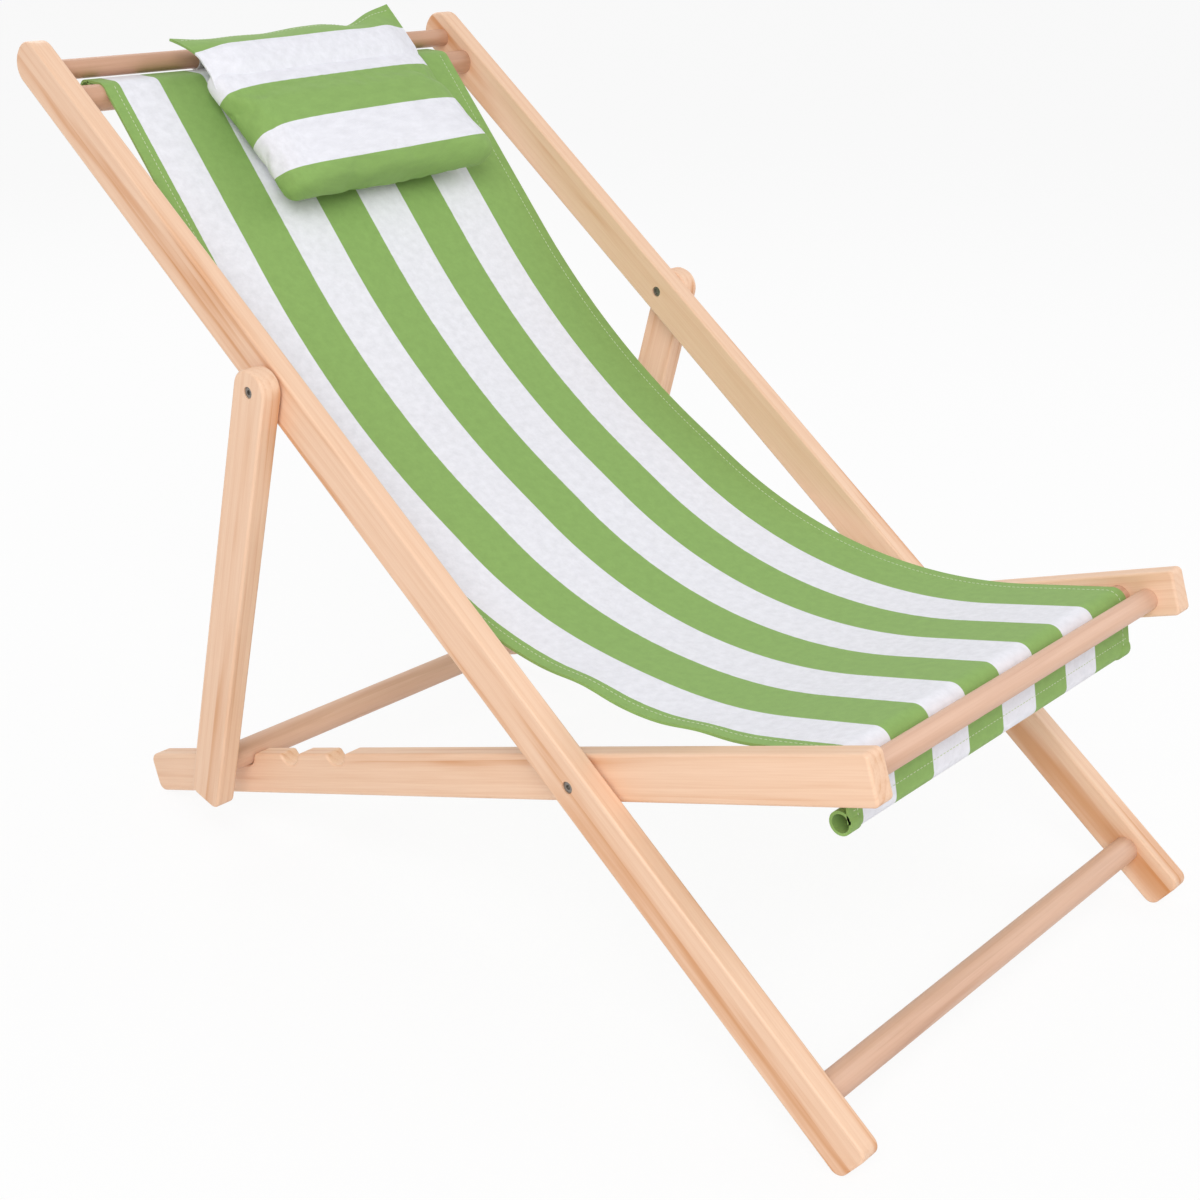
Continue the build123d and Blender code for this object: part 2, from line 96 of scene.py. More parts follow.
def radius_of(bar):
    """Radius of a round bar that lies along X."""
    low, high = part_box(bar)
    return (high.z - low.z) / 2


JOINTS = {joint["name"]: joint for joint in frame["joints"]}
PIVOT = side_of(JOINTS["back_fold"]["pos_m"])
PROP_PIVOT = side_of(JOINTS["prop_swing"]["pos_m"])
LOWER_TOP_BAR = side_of(centre_of("top_crossbar_lower"))
UPPER_TOP_BAR = side_of(centre_of("top_crossbar_upper"))
SLING_BAR = side_of(centre_of("sling_crossbar"))
PROP_BAR = side_of(centre_of("prop_crossbar"))
TOP_ROD = side_of(centre_of("sling_top_rod"))
HEM_ROD = side_of(centre_of("sling_hem_rod"))
BACK_RUN = (LOWER_TOP_BAR - PIVOT).normalized()
SEAT_RUN = (PIVOT - SLING_BAR).normalized()
PROP_RUN = (PROP_BAR - PROP_PIVOT).normalized()


# Settings that a user would change

def length(name, description, millimetres):
    """A length setting, written in millimetres and kept in metres."""
    return FloatProperty(name=name, description=description, default=millimetres * MM, unit="LENGTH",
                         subtype="DISTANCE", precision=4)


def colour(name, description, code):
    """A colour setting, written as sRGB hex."""
    return FloatVectorProperty(name=name, description=description, default=linear(code), size=4,
                               subtype="COLOR", min=0.0, max=1.0)


class ChairPineSettings(bpy.types.PropertyGroup):
    """Timber colours and grain, with a darker pair for the top bars that is painted shade."""

    early_wood: colour("Early wood", "Pale wood between the rings", "#F1CBAD")
    late_wood: colour("Late wood", "Orange line of each ring", "#CF8C54")
    dowel_early_wood: colour("Dowel early wood", "Pale wood of the round bars", "#DEB59B")
    dowel_late_wood: colour("Dowel late wood", "Ring line of the round bars", "#BD8C6F")
    # Painted shade: the top bars are drawn in a darker wood for the shade they lie in under the pillow's
    # flange, not for a darker timber
    top_bar_early_wood: colour("Top bar early wood", "Pale wood of the top bars", "#CDA084")
    top_bar_late_wood: colour("Top bar late wood", "Ring line of the top bars", "#A97A5C")
    ring_width: length("Ring width", "Distance between two rings", 6.5)
    fibre_width: length("Fibre width", "Distance between two fibre streaks", 1.4)


class ChairSlingSettings(bpy.types.PropertyGroup):
    """Sling sizes and colours."""

    green: colour("Green", "Green yarn", "#8DB063")
    white: colour("White", "White yarn", "#ECECF3")
    width: length("Width", "Width of the finished sling", 428)
    thickness: length("Thickness", "Thickness of the canvas", 1.2)
    hem: length("Hem", "Width of the turned side hems", 14)
    belly: length("Belly", "How far the cloth sags between its side hems", 1.5)
    aside: length("Aside", "How far the sling lies left of the middle", -3)
    edge_run: length("Edge run", "Width over which the cloth rises to its hem", 26)
    fold_lift: length("Fold lift", "How far a soft fold lifts the right hem", 4)
    near_lift: length("Near lift", "How far the cloth is pulled up on the right beside the hips", 6)
    back_sag_at: length("Back sag at", "Distance of the back's knee from the pivot", 430)
    back_sag: length("Back sag", "Depth of the back's knee behind the rails", 63)
    back_sag_radius: length("Back sag radius", "Radius of the hollow for the back", 800)
    seat_sag_at: length("Seat sag at", "Distance of the seat's knee behind the pivot", 40)
    seat_sag_above: length("Seat sag above", "Height of the seat's knee above the rails", 39)
    seat_sag_radius: length("Seat sag radius", "Radius of the hollow for the hips", 480)
    stripe_period: length("Stripe period", "Spacing of the green stripes", 102.5)
    stripe_green: length("Green stripe", "Width of a green stripe", 51)
    stripe_centre: length("Stripe centre", "Place of the middle green stripe", -29)
    near_green_to: length("Near green to", "Where the first green stripe ends, across the sling", -200)
    far_green_from: length("Far green from", "Where the last green stripe starts, across the sling", 150.5)
    thread: length("Thread", "Spacing of the drawn weave", 1.7)


class ChairPillowSettings(bpy.types.PropertyGroup):
    """Head pillow sizes."""

    width: length("Width", "Width of the pillow at its corners", 276)
    run: length("Length", "Length of the pillow down the sling", 156)
    crown: length("Crown", "Thickness of the pillow's lower end", 62)
    top_crown: length("Top crown", "Thickness of the pillow's upper end", 38)
    below_bar: length("Below bar", "Distance of the pillow from the top bar", 2)
    aside: length("Aside", "How far the pillow lies left of the middle", 14)
    lift: length("Lift", "Gap between the sling and the pillow", 3.4)
    swell: length("Swell", "How far the filling may push the cloth out", 5)
    flange: length("Flange", "Length of the flat flange past the pillow", 45)
    turn: FloatProperty(name="Turn", description="Turn of the pillow in the plane of the sling",
                        default=math.radians(1.8), unit="ROTATION", subtype="ANGLE")
    lean: FloatProperty(name="Lean", default=0.07,
                        description="How far the pillow's top leans to the right, as a share of its height")
    stripe_period: length("Stripe period", "Spacing of the green stripes", 100)
    stripe_green: length("Green stripe", "Width of a green stripe", 50)
    stripe_centre: length("Stripe centre", "Place of the middle green stripe below the top bar", 62)
    near_green_to: length("Near green to", "Where the flange's green ends, below the top bar", -13)
    far_green_from: length("Far green from", "Where the lower end's green starts, below the top bar", 137)
    strap_width: length("Strap width", "Width of an elastic strap", 20)
    strap_thickness: length("Strap thickness", "Thickness of an elastic strap", 1.2)


class ChairStitchSettings(bpy.types.PropertyGroup):
    """Sewing thread sizes."""

    pitch: length("Pitch", "Spacing of the stitches", 4.6)
    stitch: length("Stitch", "Length of one stitch", 3.4)
    thread: length("Thread", "Thickness of the sewing thread", 0.8)


# Material nodes

CLOTH_MAP = "cloth"


def feed(tree, node, inputs):
    """Give a node its inputs, by name or number, as values or as sockets to link."""
    for key, value in inputs.items():
        if isinstance(value, bpy.types.NodeSocket):
            tree.links.new(value, node.inputs[key])
        else:
            node.inputs[key].default_value = value


def add_node(tree, kind, inputs=None, **settings):
    """A node with its inputs and settings."""
    node = tree.nodes.new(kind)
    for key, value in settings.items():
        setattr(node, key, value)
    feed(tree, node, inputs or {})
    return node


def maths(tree, operation, *values):
    """Output of a sum on values or sockets."""
    return add_node(tree, "ShaderNodeMath", dict(enumerate(values)), operation=operation).outputs[0]


def mixed(tree, share, first, second):
    """Output of a mix of two colours."""
    return add_node(tree, "ShaderNodeMix", {0: share, 6: first, 7: second}, data_type="RGBA").outputs[2]


def ranged(tree, value, start=0.0, end=1.0, low=0.0, high=1.0, step="LINEAR"):
    """A value between start and end, brought between low and high."""
    limits = {"Value": value, "From Min": start, "From Max": end, "To Min": low, "To Max": high}
    return add_node(tree, "ShaderNodeMapRange", limits, interpolation_type=step).outputs[0]


def lumps(tree, place, size, detail=2.0, roughness=0.5):
    """Output of a noise with lumps of one size."""
    inputs = {"Vector": place, "Scale": 1 / size, "Detail": detail, "Roughness": roughness}
    return add_node(tree, "ShaderNodeTexNoise", inputs).outputs["Fac"]


def bumped(tree, height, strength, depth):
    """Normals of a surface with a fine relief."""
    inputs = {"Height": height, "Strength": strength, "Distance": depth}
    return add_node(tree, "ShaderNodeBump", inputs).outputs[0]


def new_material(name):
    """Empty node material with its shader and output."""
    material = bpy.data.materials.new(name)
    material.use_nodes = True
    tree = material.node_tree
    tree.nodes.clear()
    shader = add_node(tree, "ShaderNodeBsdfPrincipled")
    add_node(tree, "ShaderNodeOutputMaterial", {"Surface": shader.outputs[0]})
    return material, tree, shader


WAVE_TURN = 2 * math.pi / 20
GRAIN_STRETCH = 14.0
FIBRE_STRETCH = 60.0
BAND_WIDTH = 26 * MM
LINE_IN_BAND = 0.4
LINE_BETWEEN = 0.12


def lacquered_pine(kind, node, turn, pith, figure, tones, pine):
    """Sanded pine under clear satin lacquer: pale wood, broad soft orange bands and a few thin ring lines
    along the board, faint fibre streaks and a low gloss. The figure is how strongly the bands show."""
    material, tree, shader = new_material(f"{kind}_{node}")
    early, late = (tone[:] for tone in tones)
    place = add_node(tree, "ShaderNodeTexCoord").outputs["Object"]
    board = {"Vector": place, "Location": centre_of(node), "Rotation": turn}
    along, fine = (add_node(tree, "ShaderNodeMapping", {**board, "Scale": (1, stretch, 1)},
                            vector_type="TEXTURE").outputs[0] for stretch in (GRAIN_STRETCH, FIBRE_STRETCH))
    ringed = add_node(tree, "ShaderNodeVectorMath", {0: along, 1: pith}, operation="ADD").outputs[0]
    rings = add_node(tree, "ShaderNodeTexWave",
                     {"Vector": ringed, "Scale": WAVE_TURN / pine.ring_width, "Distortion": 5.0,
                      "Detail": 3.0, "Detail Scale": 0.5, "Detail Roughness": 0.6},
                     wave_type="RINGS", rings_direction="Y", wave_profile="SAW").outputs["Fac"]
    line = ranged(tree, rings, start=0.35, step="SMOOTHSTEP")
    bands = lumps(tree, ringed, BAND_WIDTH, detail=3.0, roughness=0.55)
    band = ranged(tree, bands, start=0.46, end=0.72, step="SMOOTHSTEP")
    fibre = lumps(tree, fine, pine.fibre_width, detail=3.0, roughness=0.6)
    lines = maths(tree, "MULTIPLY", line, maths(tree, "MULTIPLY_ADD", band, LINE_IN_BAND, LINE_BETWEEN))
    wood = mixed(tree, maths(tree, "MULTIPLY_ADD", band, figure, lines), early, late)
    streak = ranged(tree, fibre, start=0.4, end=0.8, high=0.22)
    relief = maths(tree, "ADD", fibre, line)
    feed(tree, shader, {
        "Base Color": mixed(tree, streak, wood, late),
        "Roughness": ranged(tree, fibre, low=0.42, high=0.6),
        "Normal": bumped(tree, relief, strength=0.1, depth=0.4 * MM),
        "IOR": 1.5, "Coat Weight": 0.12, "Coat Roughness": 0.35,
    })
    return material


BLOOM = 2.5 * MM


def zinc_plated_steel():
    """Dull zinc-plated steel: a grey metal with a fine broken gloss."""
    material, tree, shader = new_material("zinc_plated_steel")
    place = add_node(tree, "ShaderNodeTexCoord").outputs["Object"]
    bloom = lumps(tree, place, BLOOM, detail=4.0)
    feed(tree, shader, {"Base Color": mixed(tree, bloom, linear("#6E6A66"), linear("#A39E97")),
                        "Roughness": ranged(tree, bloom, low=0.35, high=0.6), "Metallic": 1.0})
    return material


MOTTLE = 9 * MM
STRIPE_FUZZ = 0.9 * MM
STRIPE_SOFT = 0.4 * MM
WEAVE_SHADE = 0.035
MOTTLE_RELIEF = 0.6


def striped_canvas(name, stripes, fabric):
    """Yarn-dyed woven canvas: matt, with soft stripe edges, a thread grid and a faint mottle in the yarn.
    The weave is drawn about three times as coarse as real canvas, so that it shows."""
    material, tree, shader = new_material(name)
    cloth = add_node(tree, "ShaderNodeAttribute", attribute_name=CLOTH_MAP).outputs["Vector"]
    across, along = add_node(tree, "ShaderNodeSeparateXYZ", {0: cloth}).outputs[:2]
    mottle = lumps(tree, cloth, MOTTLE, detail=4.0, roughness=0.65)
    fuzzy = maths(tree, "MULTIPLY_ADD", mottle, STRIPE_FUZZ, across)
    moved = maths(tree, "SUBTRACT", fuzzy, stripes.stripe_centre)
    from_middle = maths(tree, "PINGPONG", moved, stripes.stripe_period / 2)
    half = stripes.stripe_green / 2
    green = ranged(tree, from_middle, start=half + STRIPE_SOFT, end=half - STRIPE_SOFT, step="SMOOTHSTEP")
    first = maths(tree, "LESS_THAN", fuzzy, stripes.near_green_to)
    last = maths(tree, "GREATER_THAN", fuzzy, stripes.far_green_from)
    dyed = maths(tree, "MAXIMUM", green, maths(tree, "MAXIMUM", first, last))
    turns = 2 * math.pi / fabric.thread
    warp, weft = (maths(tree, "SINE", maths(tree, "MULTIPLY", part, turns)) for part in (across, along))
    weave = maths(tree, "MULTIPLY", warp, weft)
    tint = mixed(tree, dyed, fabric.white[:], fabric.green[:])
    level = maths(tree, "MULTIPLY_ADD", weave, WEAVE_SHADE, mottle)
    shade = ranged(tree, level, start=0.3, end=0.7, low=0.93, high=1.05)
    yarn = add_node(tree, "ShaderNodeVectorMath", {0: tint, "Scale": shade}, operation="SCALE").outputs[0]
    relief = maths(tree, "MULTIPLY_ADD", mottle, MOTTLE_RELIEF, weave)
    feed(tree, shader, {
        "Base Color": yarn, "Normal": bumped(tree, relief, strength=0.18, depth=0.25 * MM),
        "Roughness": 0.88, "Specular IOR Level": 0.25, "Sheen Weight": 0.08, "Sheen Roughness": 0.5,
    })
    return material


RIB = 1.6 * MM


def elastic_webbing(name):
    """Knitted elastic: off-white, with ribs across its width that are drawn twice as wide as they are."""
    material, tree, shader = new_material(name)
    cloth = add_node(tree, "ShaderNodeAttribute", attribute_name=CLOTH_MAP).outputs["Vector"]
    ribs = add_node(tree, "ShaderNodeTexWave", {"Vector": cloth, "Scale": WAVE_TURN / RIB, "Distortion": 0.6},
                    bands_direction="Y").outputs["Fac"]
    feed(tree, shader, {"Base Color": mixed(tree, ribs, linear("#C9C8C4"), linear("#E9E8E3")),
                        "Normal": bumped(tree, ribs, strength=0.3, depth=0.3 * MM), "Roughness": 0.8})
    return material


TWIST = 0.8 * MM


def sewing_thread():
    """Spun polyester thread: pale green, slightly shiny, with a twist."""
    material, tree, shader = new_material("polyester_thread")
    place = add_node(tree, "ShaderNodeTexCoord").outputs["Object"]
    twist = lumps(tree, place, TWIST)
    feed(tree, shader, {"Base Color": mixed(tree, twist, linear("#AFC290"), linear("#DCE5CB")),
                        "Roughness": 0.6})
    return material


# Side-plane lines of the cloth

def turned(direction, angle):
    """Flat vector turned anticlockwise by an angle in radians."""
    cosine = math.cos(angle)
    sine = math.sin(angle)
    return Vector((direction.x * cosine - direction.y * sine, direction.x * sine + direction.y * cosine))


def touch_from(point, centre, radius, hand):
    """Where a line from a point touches a circle, which lies on the given hand of the line."""
    away = centre - point
    reach = math.sqrt(away.length_squared - radius ** 2)
    return point + turned(away.normalized(), -hand * math.asin(radius / away.length)) * reach


def shared_touch(first, first_radius, second, second_radius, hand):
    """Where one line touches two circles that both lie on the given hand of it."""
    span = second - first
    lean = math.asin((second_radius - first_radius) / span.length)
    normal = turned(span.normalized(), -hand * (math.pi / 2 + lean))
    return first + normal * first_radius, second + normal * second_radius


STEP = 4.5 * MM
ARC_STEP = math.radians(12)


def line_points(start, end):
    """Points along a straight run, without its end."""
    count = max(1, round((end - start).length / STEP))
    return [start.lerp(end, at / count) for at in range(count)]


def arc_points(centre, start, end, whole_turns=0):
    """Points along an arc, without its end, the short way or with whole turns added."""
    first = start - centre
    last = end - centre
    sweep = math.atan2(first.x * last.y - first.y * last.x, first.dot(last)) + 2 * math.pi * whole_turns
    count = max(2, math.ceil(abs(sweep) / min(ARC_STEP, STEP / first.length)))
    return [centre + turned(first, sweep * at / count) for at in range(count)]


def run_along(route):
    """Distance along a route at each of its points."""
    return np.concatenate([[0.0], np.cumsum(np.linalg.norm(np.diff(route, axis=0), axis=1))])


def corner_points(before, corner, after, radius):
    """Points along the arc that rounds a corner, and the arc's two ends."""
    inward = (before - corner).normalized()
    outward = (after - corner).normalized()
    half_angle = math.atan2((inward + outward).length, (inward - outward).length)
    reach = radius * math.tan(half_angle)
    start = corner + inward * reach
    end = corner + outward * reach
    centre = corner + (inward + outward).normalized() * (radius / math.cos(half_angle))
    return start, arc_points(centre, start, end), end


CLOTH_GAP = 0.4 * MM
SLEEVE_OPEN = math.radians(20)


class SlingLine:
    """The middle line of the sling, from the top sleeve over the two bars to the hem sleeve."""

    def __init__(self, sling):
        bars = ("top_crossbar_lower", "sling_crossbar", "sling_top_rod", "sling_hem_rod")
        top_wrap, front_wrap, top_sleeve, hem_sleeve = (
            radius_of(bar) + CLOTH_GAP + sling.thickness / 2 for bar in bars)
        back_knee = self.knee(BACK_RUN, sling.back_sag_at, -sling.back_sag)
        seat_knee = self.knee(SEAT_RUN, sling.seat_sag_at, sling.seat_sag_above)
        self.top_touch = touch_from(back_knee, LOWER_TOP_BAR, top_wrap, -1)
        front_touch = touch_from(seat_knee, SLING_BAR, front_wrap, 1)
        self.run = (back_knee - self.top_touch).normalized()
        self.out = turned(self.run, -math.pi / 2)
        sleeve_end, bar_start = shared_touch(TOP_ROD, top_sleeve, LOWER_TOP_BAR, top_wrap, 1)
        back_start, back_arc, back_end = corner_points(
            self.top_touch, back_knee, seat_knee, sling.back_sag_radius)
        seat_start, seat_arc, seat_end = corner_points(
            back_knee, seat_knee, front_touch, sling.seat_sag_radius)
        bar_end, hem_start = shared_touch(SLING_BAR, front_wrap, HEM_ROD, hem_sleeve, 1)
        points = self.sleeve_points(TOP_ROD, sleeve_end, 1)
        points += line_points(sleeve_end, bar_start)
        points += arc_points(LOWER_TOP_BAR, bar_start, self.top_touch)
        self.free_from = len(points)
        points += line_points(self.top_touch, back_start) + back_arc
        points += line_points(back_end, seat_start) + seat_arc
        points += line_points(seat_end, front_touch)
        self.free_to = len(points)
        points += arc_points(SLING_BAR, front_touch, bar_end)
        points += line_points(bar_end, hem_start)
        self.hem_from = len(points)
        points += self.sleeve_points(HEM_ROD, hem_start, -1)
        self.points = np.array([tuple(point) for point in points])
        self.at = run_along(self.points)
        tangent = np.gradient(self.points, self.at, axis=0)
        tangent /= np.linalg.norm(tangent, axis=1)[:, None]
        self.normals = np.stack([tangent[:, 1], -tangent[:, 0]], axis=1)

    @staticmethod
    def knee(run, along, above):
        """A place along a rail from the pivot, and above the rail."""
        return PIVOT + run * along + turned(run, math.pi / 2) * above

    @staticmethod
    def sleeve_points(rod, touch, hand):
        """Cloth round a rod, nearly a full turn, that starts or ends where the run touches the sleeve."""
        free = rod + turned(touch - rod, hand * SLEEVE_OPEN)
        if hand > 0:
            return arc_points(rod, free, touch, 1)
        return arc_points(rod, touch, free, -1) + [free]


# Cloth meshes

RIM_ANGLE = math.radians(50)


def in_scene(name, data):
    """A new object in the scene."""
    piece = bpy.data.objects.new(name, data)
    bpy.context.scene.collection.objects.link(piece)
    return piece


def mesh_piece(name, vertices, faces, material):
    """A new piece in the scene from plain lists, shaded smooth between its sharp rims."""
    mesh = bpy.data.meshes.new(name)
    mesh.from_pydata(vertices, [], faces)
    mesh.materials.append(material)
    mesh.shade_smooth()
    return in_scene(name, mesh)


def sheet_normals(grid):
    """Directions out of the upper face of a grid of points."""
    normal = np.cross(np.gradient(grid, axis=0), np.gradient(grid, axis=1))
    return normal / np.linalg.norm(normal, axis=2)[:, :, None]


def cloth_shell(name, grid, over, under, cloth, material):
    """Closed cloth from a grid of middle points. Over and under are its thickness on each side of them, and
    cloth is its flat map."""
    rows, columns = grid.shape[:2]
    normal = sheet_normals(grid)
    top = (grid + normal * over[None, :, None]).reshape(-1, 3)
    bottom = (grid - normal * under[None, :, None]).reshape(-1, 3)
    number = np.arange(rows * columns).reshape(rows, columns)
    corners = [number[:-1, :-1], number[1:, :-1], number[1:, 1:], number[:-1, 1:]]
    upper = np.stack([corner.ravel() for corner in corners], axis=1)
    lower = upper[:, ::-1] + rows * columns
    rim = np.concatenate([number[:, 0], number[-1, 1:], number[-2::-1, -1], number[0, -2:0:-1]])
    after = np.roll(rim, -1)
    wall = np.stack([after, rim, rim + rows * columns, after + rows * columns], axis=1)
    faces = np.concatenate([upper, lower, wall])
    piece = mesh_piece(name, np.concatenate([top, bottom]).tolist(), faces.tolist(), material)
    flat = np.concatenate([cloth.reshape(-1, 2)] * 2)
    layer = piece.data.uv_layers.new(name=CLOTH_MAP)
    corner_of = np.zeros(len(piece.data.loops), np.int32)
    piece.data.loops.foreach_get("vertex_index", corner_of)
    layer.data.foreach_set("uv", flat[corner_of].astype(np.float32).ravel())
    piece.data.set_sharp_from_angle(angle=RIM_ANGLE)
    return piece


def smooth(share):
    """Soft step from 0 to 1."""
    held = np.clip(share, 0, 1)
    return held * held * (3 - 2 * held)


def bell(place, middle, reach):
    """Soft hump of height 1 about a middle."""
    return np.exp(-((place - middle) / reach) ** 2)


# Soft folds that run out to the right hem, by their distance behind the sling bar
SLING_FOLDS = (120 * MM, 240 * MM, 430 * MM)
SLING_FOLD_WIDTH = 30 * MM
HIPS_BEHIND_BAR = 235 * MM
HIPS_REACH = 100 * MM
NEAR_LIFT_FROM = 40 * MM
NEAR_LIFT_RUN = 150 * MM
BELLY_POWER = 1.6


def sling_grid(line, sling, across):
    """Middle points of the sling: it sags between its side hems, is pulled up along its right side beside the
    hips, and has soft folds that run out to the right hem."""
    half = sling.width / 2
    free_start = line.at[line.free_from]
    free_end = line.at[line.free_to]
    behind_bar = free_end - line.at
    free = np.clip((line.at - free_start) / (free_end - free_start), 0, 1)
    sag = sling.belly * np.sin(np.pi * free ** BELLY_POWER)
    folds = sum(bell(behind_bar, at, SLING_FOLD_WIDTH) for at in SLING_FOLDS)
    beside_hips = bell(behind_bar, HIPS_BEHIND_BAR, HIPS_REACH)
    grid = np.zeros((len(line.points), len(across), 3))
    grid[:, :, 0] = across[None, :] + sling.aside
    for column, place in enumerate(across):
        rise = max(0.0, 1 - (half - abs(place)) / sling.edge_run) ** 2
        lift = sling.fold_lift * bell(place, -half, sling.edge_run) * folds
        lift += sling.near_lift * smooth(-(place + NEAR_LIFT_FROM) / NEAR_LIFT_RUN) * beside_hips
        lift -= sag * (1 - rise)
        grid[:, column, 1:] = line.points + line.normals * lift[:, None]
    return grid


def bend_with_fold(piece):
    """Cloth whose place is baked into its points. It is held by neither frame and does not bend with the
    fold.
    """
    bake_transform(piece)


# Head pillow

def on_sling(line, points):
    """Points given across, up the sling from the top bar and out from the cloth, as points of the chair."""
    up = -np.array(line.run)
    side = np.array(line.top_touch) + points[..., 1, None] * up + points[..., 2, None] * np.array(line.out)
    return np.concatenate([points[..., :1], side], axis=-1)


def askew(pillow, points):
    """Points of the pillow, turned a little in the plane of the sling about its middle and set aside."""
    middle = -(pillow.below_bar + pillow.run / 2)
    cosine = math.cos(pillow.turn)
    sine = math.sin(pillow.turn)
    across = points[..., 0]
    up = points[..., 1] - middle
    moved = across * cosine - up * (sine + pillow.lean) + pillow.aside
    return np.stack([moved, across * sine + up * cosine + middle, points[..., 2]], axis=-1)


CROWN_POWER = 0.8


def pillow_top(pillow, up):
    """Height of the pillow's front above the sling, which grows towards its lower end."""
    share = np.clip((-up - pillow.below_bar) / pillow.run, 0, 1)
    return pillow.lift + pillow.top_crown + (pillow.crown - pillow.top_crown) * share ** CROWN_POWER


def plain_copy(piece):
    """A piece's mesh with its modifiers applied."""
    bpy.context.view_layer.update()
    evaluated = piece.evaluated_get(bpy.context.evaluated_depsgraph_get())
    return bpy.data.meshes.new_from_object(evaluated)


def points_of(mesh):
    """Vertex places of a mesh as an array."""
    places = np.zeros(len(mesh.vertices) * 3)
    mesh.vertices.foreach_get("co", places)
    return places.reshape(-1, 3)


BLOCK_CUTS = 23
PLAN_POWER = 12.0
EDGE_POWER = 3.6
SIDE_DRAW = 0.045
END_DRAW = 0.02


def pillow_block(pillow):
    """Rounded block that the cloth is blown up from, drawn in between its corners and thicker below."""
    block = bmesh.new()
    bmesh.ops.create_cube(block, size=2)
    bmesh.ops.subdivide_edges(block, edges=block.edges[:], cuts=BLOCK_CUTS, use_grid_fill=True)
    mesh = bpy.data.meshes.new("pillow_block")
    block.to_mesh(mesh)
    block.free()
    cube = points_of(mesh)
    plan = (np.abs(cube[:, :2]) ** PLAN_POWER).sum(axis=1) ** (EDGE_POWER / PLAN_POWER)
    unit = cube * ((plan + np.abs(cube[:, 2]) ** EDGE_POWER) ** (-1 / EDGE_POWER))[:, None]
    half = (pillow.width / 2 - pillow.swell / 2, pillow.run / 2 - pillow.swell / 2)
    across = unit[:, 0] * half[0] * (1 - SIDE_DRAW * (1 - unit[:, 1] ** 2))
    up = unit[:, 1] * half[1] * (1 - END_DRAW * (1 - unit[:, 0] ** 2)) - pillow.below_bar - pillow.run / 2
    thick = pillow_top(pillow, up) - pillow.lift - pillow.swell / 2
    out = pillow.lift + (unit[:, 2] + 1) / 2 * thick
    mesh.vertices.foreach_set("co", np.stack([across, up, out], axis=1).ravel())
    return mesh


VOXEL = 5 * MM
FILL_FRAMES = 20
FILLING = {
    "quality": 6, "mass": 0.3, "tension_stiffness": 12, "compression_stiffness": 12, "bending_stiffness": 0.6,
    "use_pressure": True, "uniform_pressure_force": 4.0, "shrink_min": -0.02,
}
# The upper end is held down to here, and less and less over the run below
HELD_TO = 22 * MM
HELD_RUN = 30 * MM
NO_MOVE = 1e-9


def blown_up(piece, rest, pillow):
    """Places of the points when the filling has pushed them out, none further than the swell."""
    seam = piece.vertex_groups.new(name="seam")
    below = np.clip((-rest[:, 1] - HELD_TO) / HELD_RUN, 0, 1)
    hold = np.where(rest[:, 2] < pillow.lift + VOXEL, 1.0, 1 - below)
    for number, weight in enumerate(hold):
        seam.add([number], float(weight), "REPLACE")
    cloth = piece.modifiers.new("filling", "CLOTH")
    for key, value in FILLING.items():
        setattr(cloth.settings, key, value)
    cloth.settings.vertex_group_mass = seam.name
    cloth.settings.effector_weights.gravity = 0
    cloth.point_cache.frame_start = 1
    cloth.point_cache.frame_end = FILL_FRAMES
    for number in range(1, FILL_FRAMES + 1):
        bpy.context.scene.frame_set(number)
    move = points_of(plain_copy(piece)) - rest
    bpy.context.scene.frame_set(1)
    piece.modifiers.clear()
    reach = np.maximum(np.linalg.norm(move, axis=1), NO_MOVE)
    return rest + move * np.minimum(1, pillow.swell / reach)[:, None]


def stuffed(mesh, pillow):
    """The block remeshed, blown up by its filling and made finer."""
    piece = in_scene("pillow_blank", mesh)
    remesh = piece.modifiers.new("remesh", "REMESH")
    remesh.mode = "VOXEL"
    remesh.voxel_size = VOXEL
    even = plain_copy(piece)
    piece.modifiers.clear()
    piece.data = even
    places = points_of(even)
    places = blown_up(piece, places, pillow)
    places[:, 2] = np.maximum(places[:, 2], pillow.lift)
    even.vertices.foreach_set("co", places.ravel())
    finer = piece.modifiers.new("finer", "SUBSURF")
    finer.levels = 1
    finished = plain_copy(piece)
    bpy.data.objects.remove(piece)
    return finished


FLANGE_ROOT = 20 * MM
FLANGE_BEND = 6 * MM
FLANGE_CURVE = 1.4
FLANGE_CLEAR = 3 * MM
# Outside its flat middle it falls off with the pillow's front
FLANGE_FLAT = 96 * MM
FLANGE_FALL = 13 * MM
# Its root goes into the pillow
BURIED_FROM = 10 * MM
BURIED_RUN = 16 * MM
BURIED = 5 * MM
# Height of its free edge: the right corner, the left one above that, the hang between them and a dip
EDGE_RIGHT = 10 * MM
EDGE_LEFT_HIGHER = 22 * MM
EDGE_HANG = 7.2 * MM
EDGE_HANG_POWER = 0.7
EDGE_DIP = 6.4 * MM
EDGE_DIP_WIDTH = 0.07
DIP_AT = 0.78
# How much shorter it looks where it hangs and dips
SHORT_HANG = 8 * MM
SHORT_HANG_POWER = 0.6
SHORT_DIP = 7 * MM
SHORT_DIP_WIDTH = 0.08
# Small waves along it
WAVES = 4
WAVE_START = 0.7
WAVE_HEIGHT = 0.9 * MM


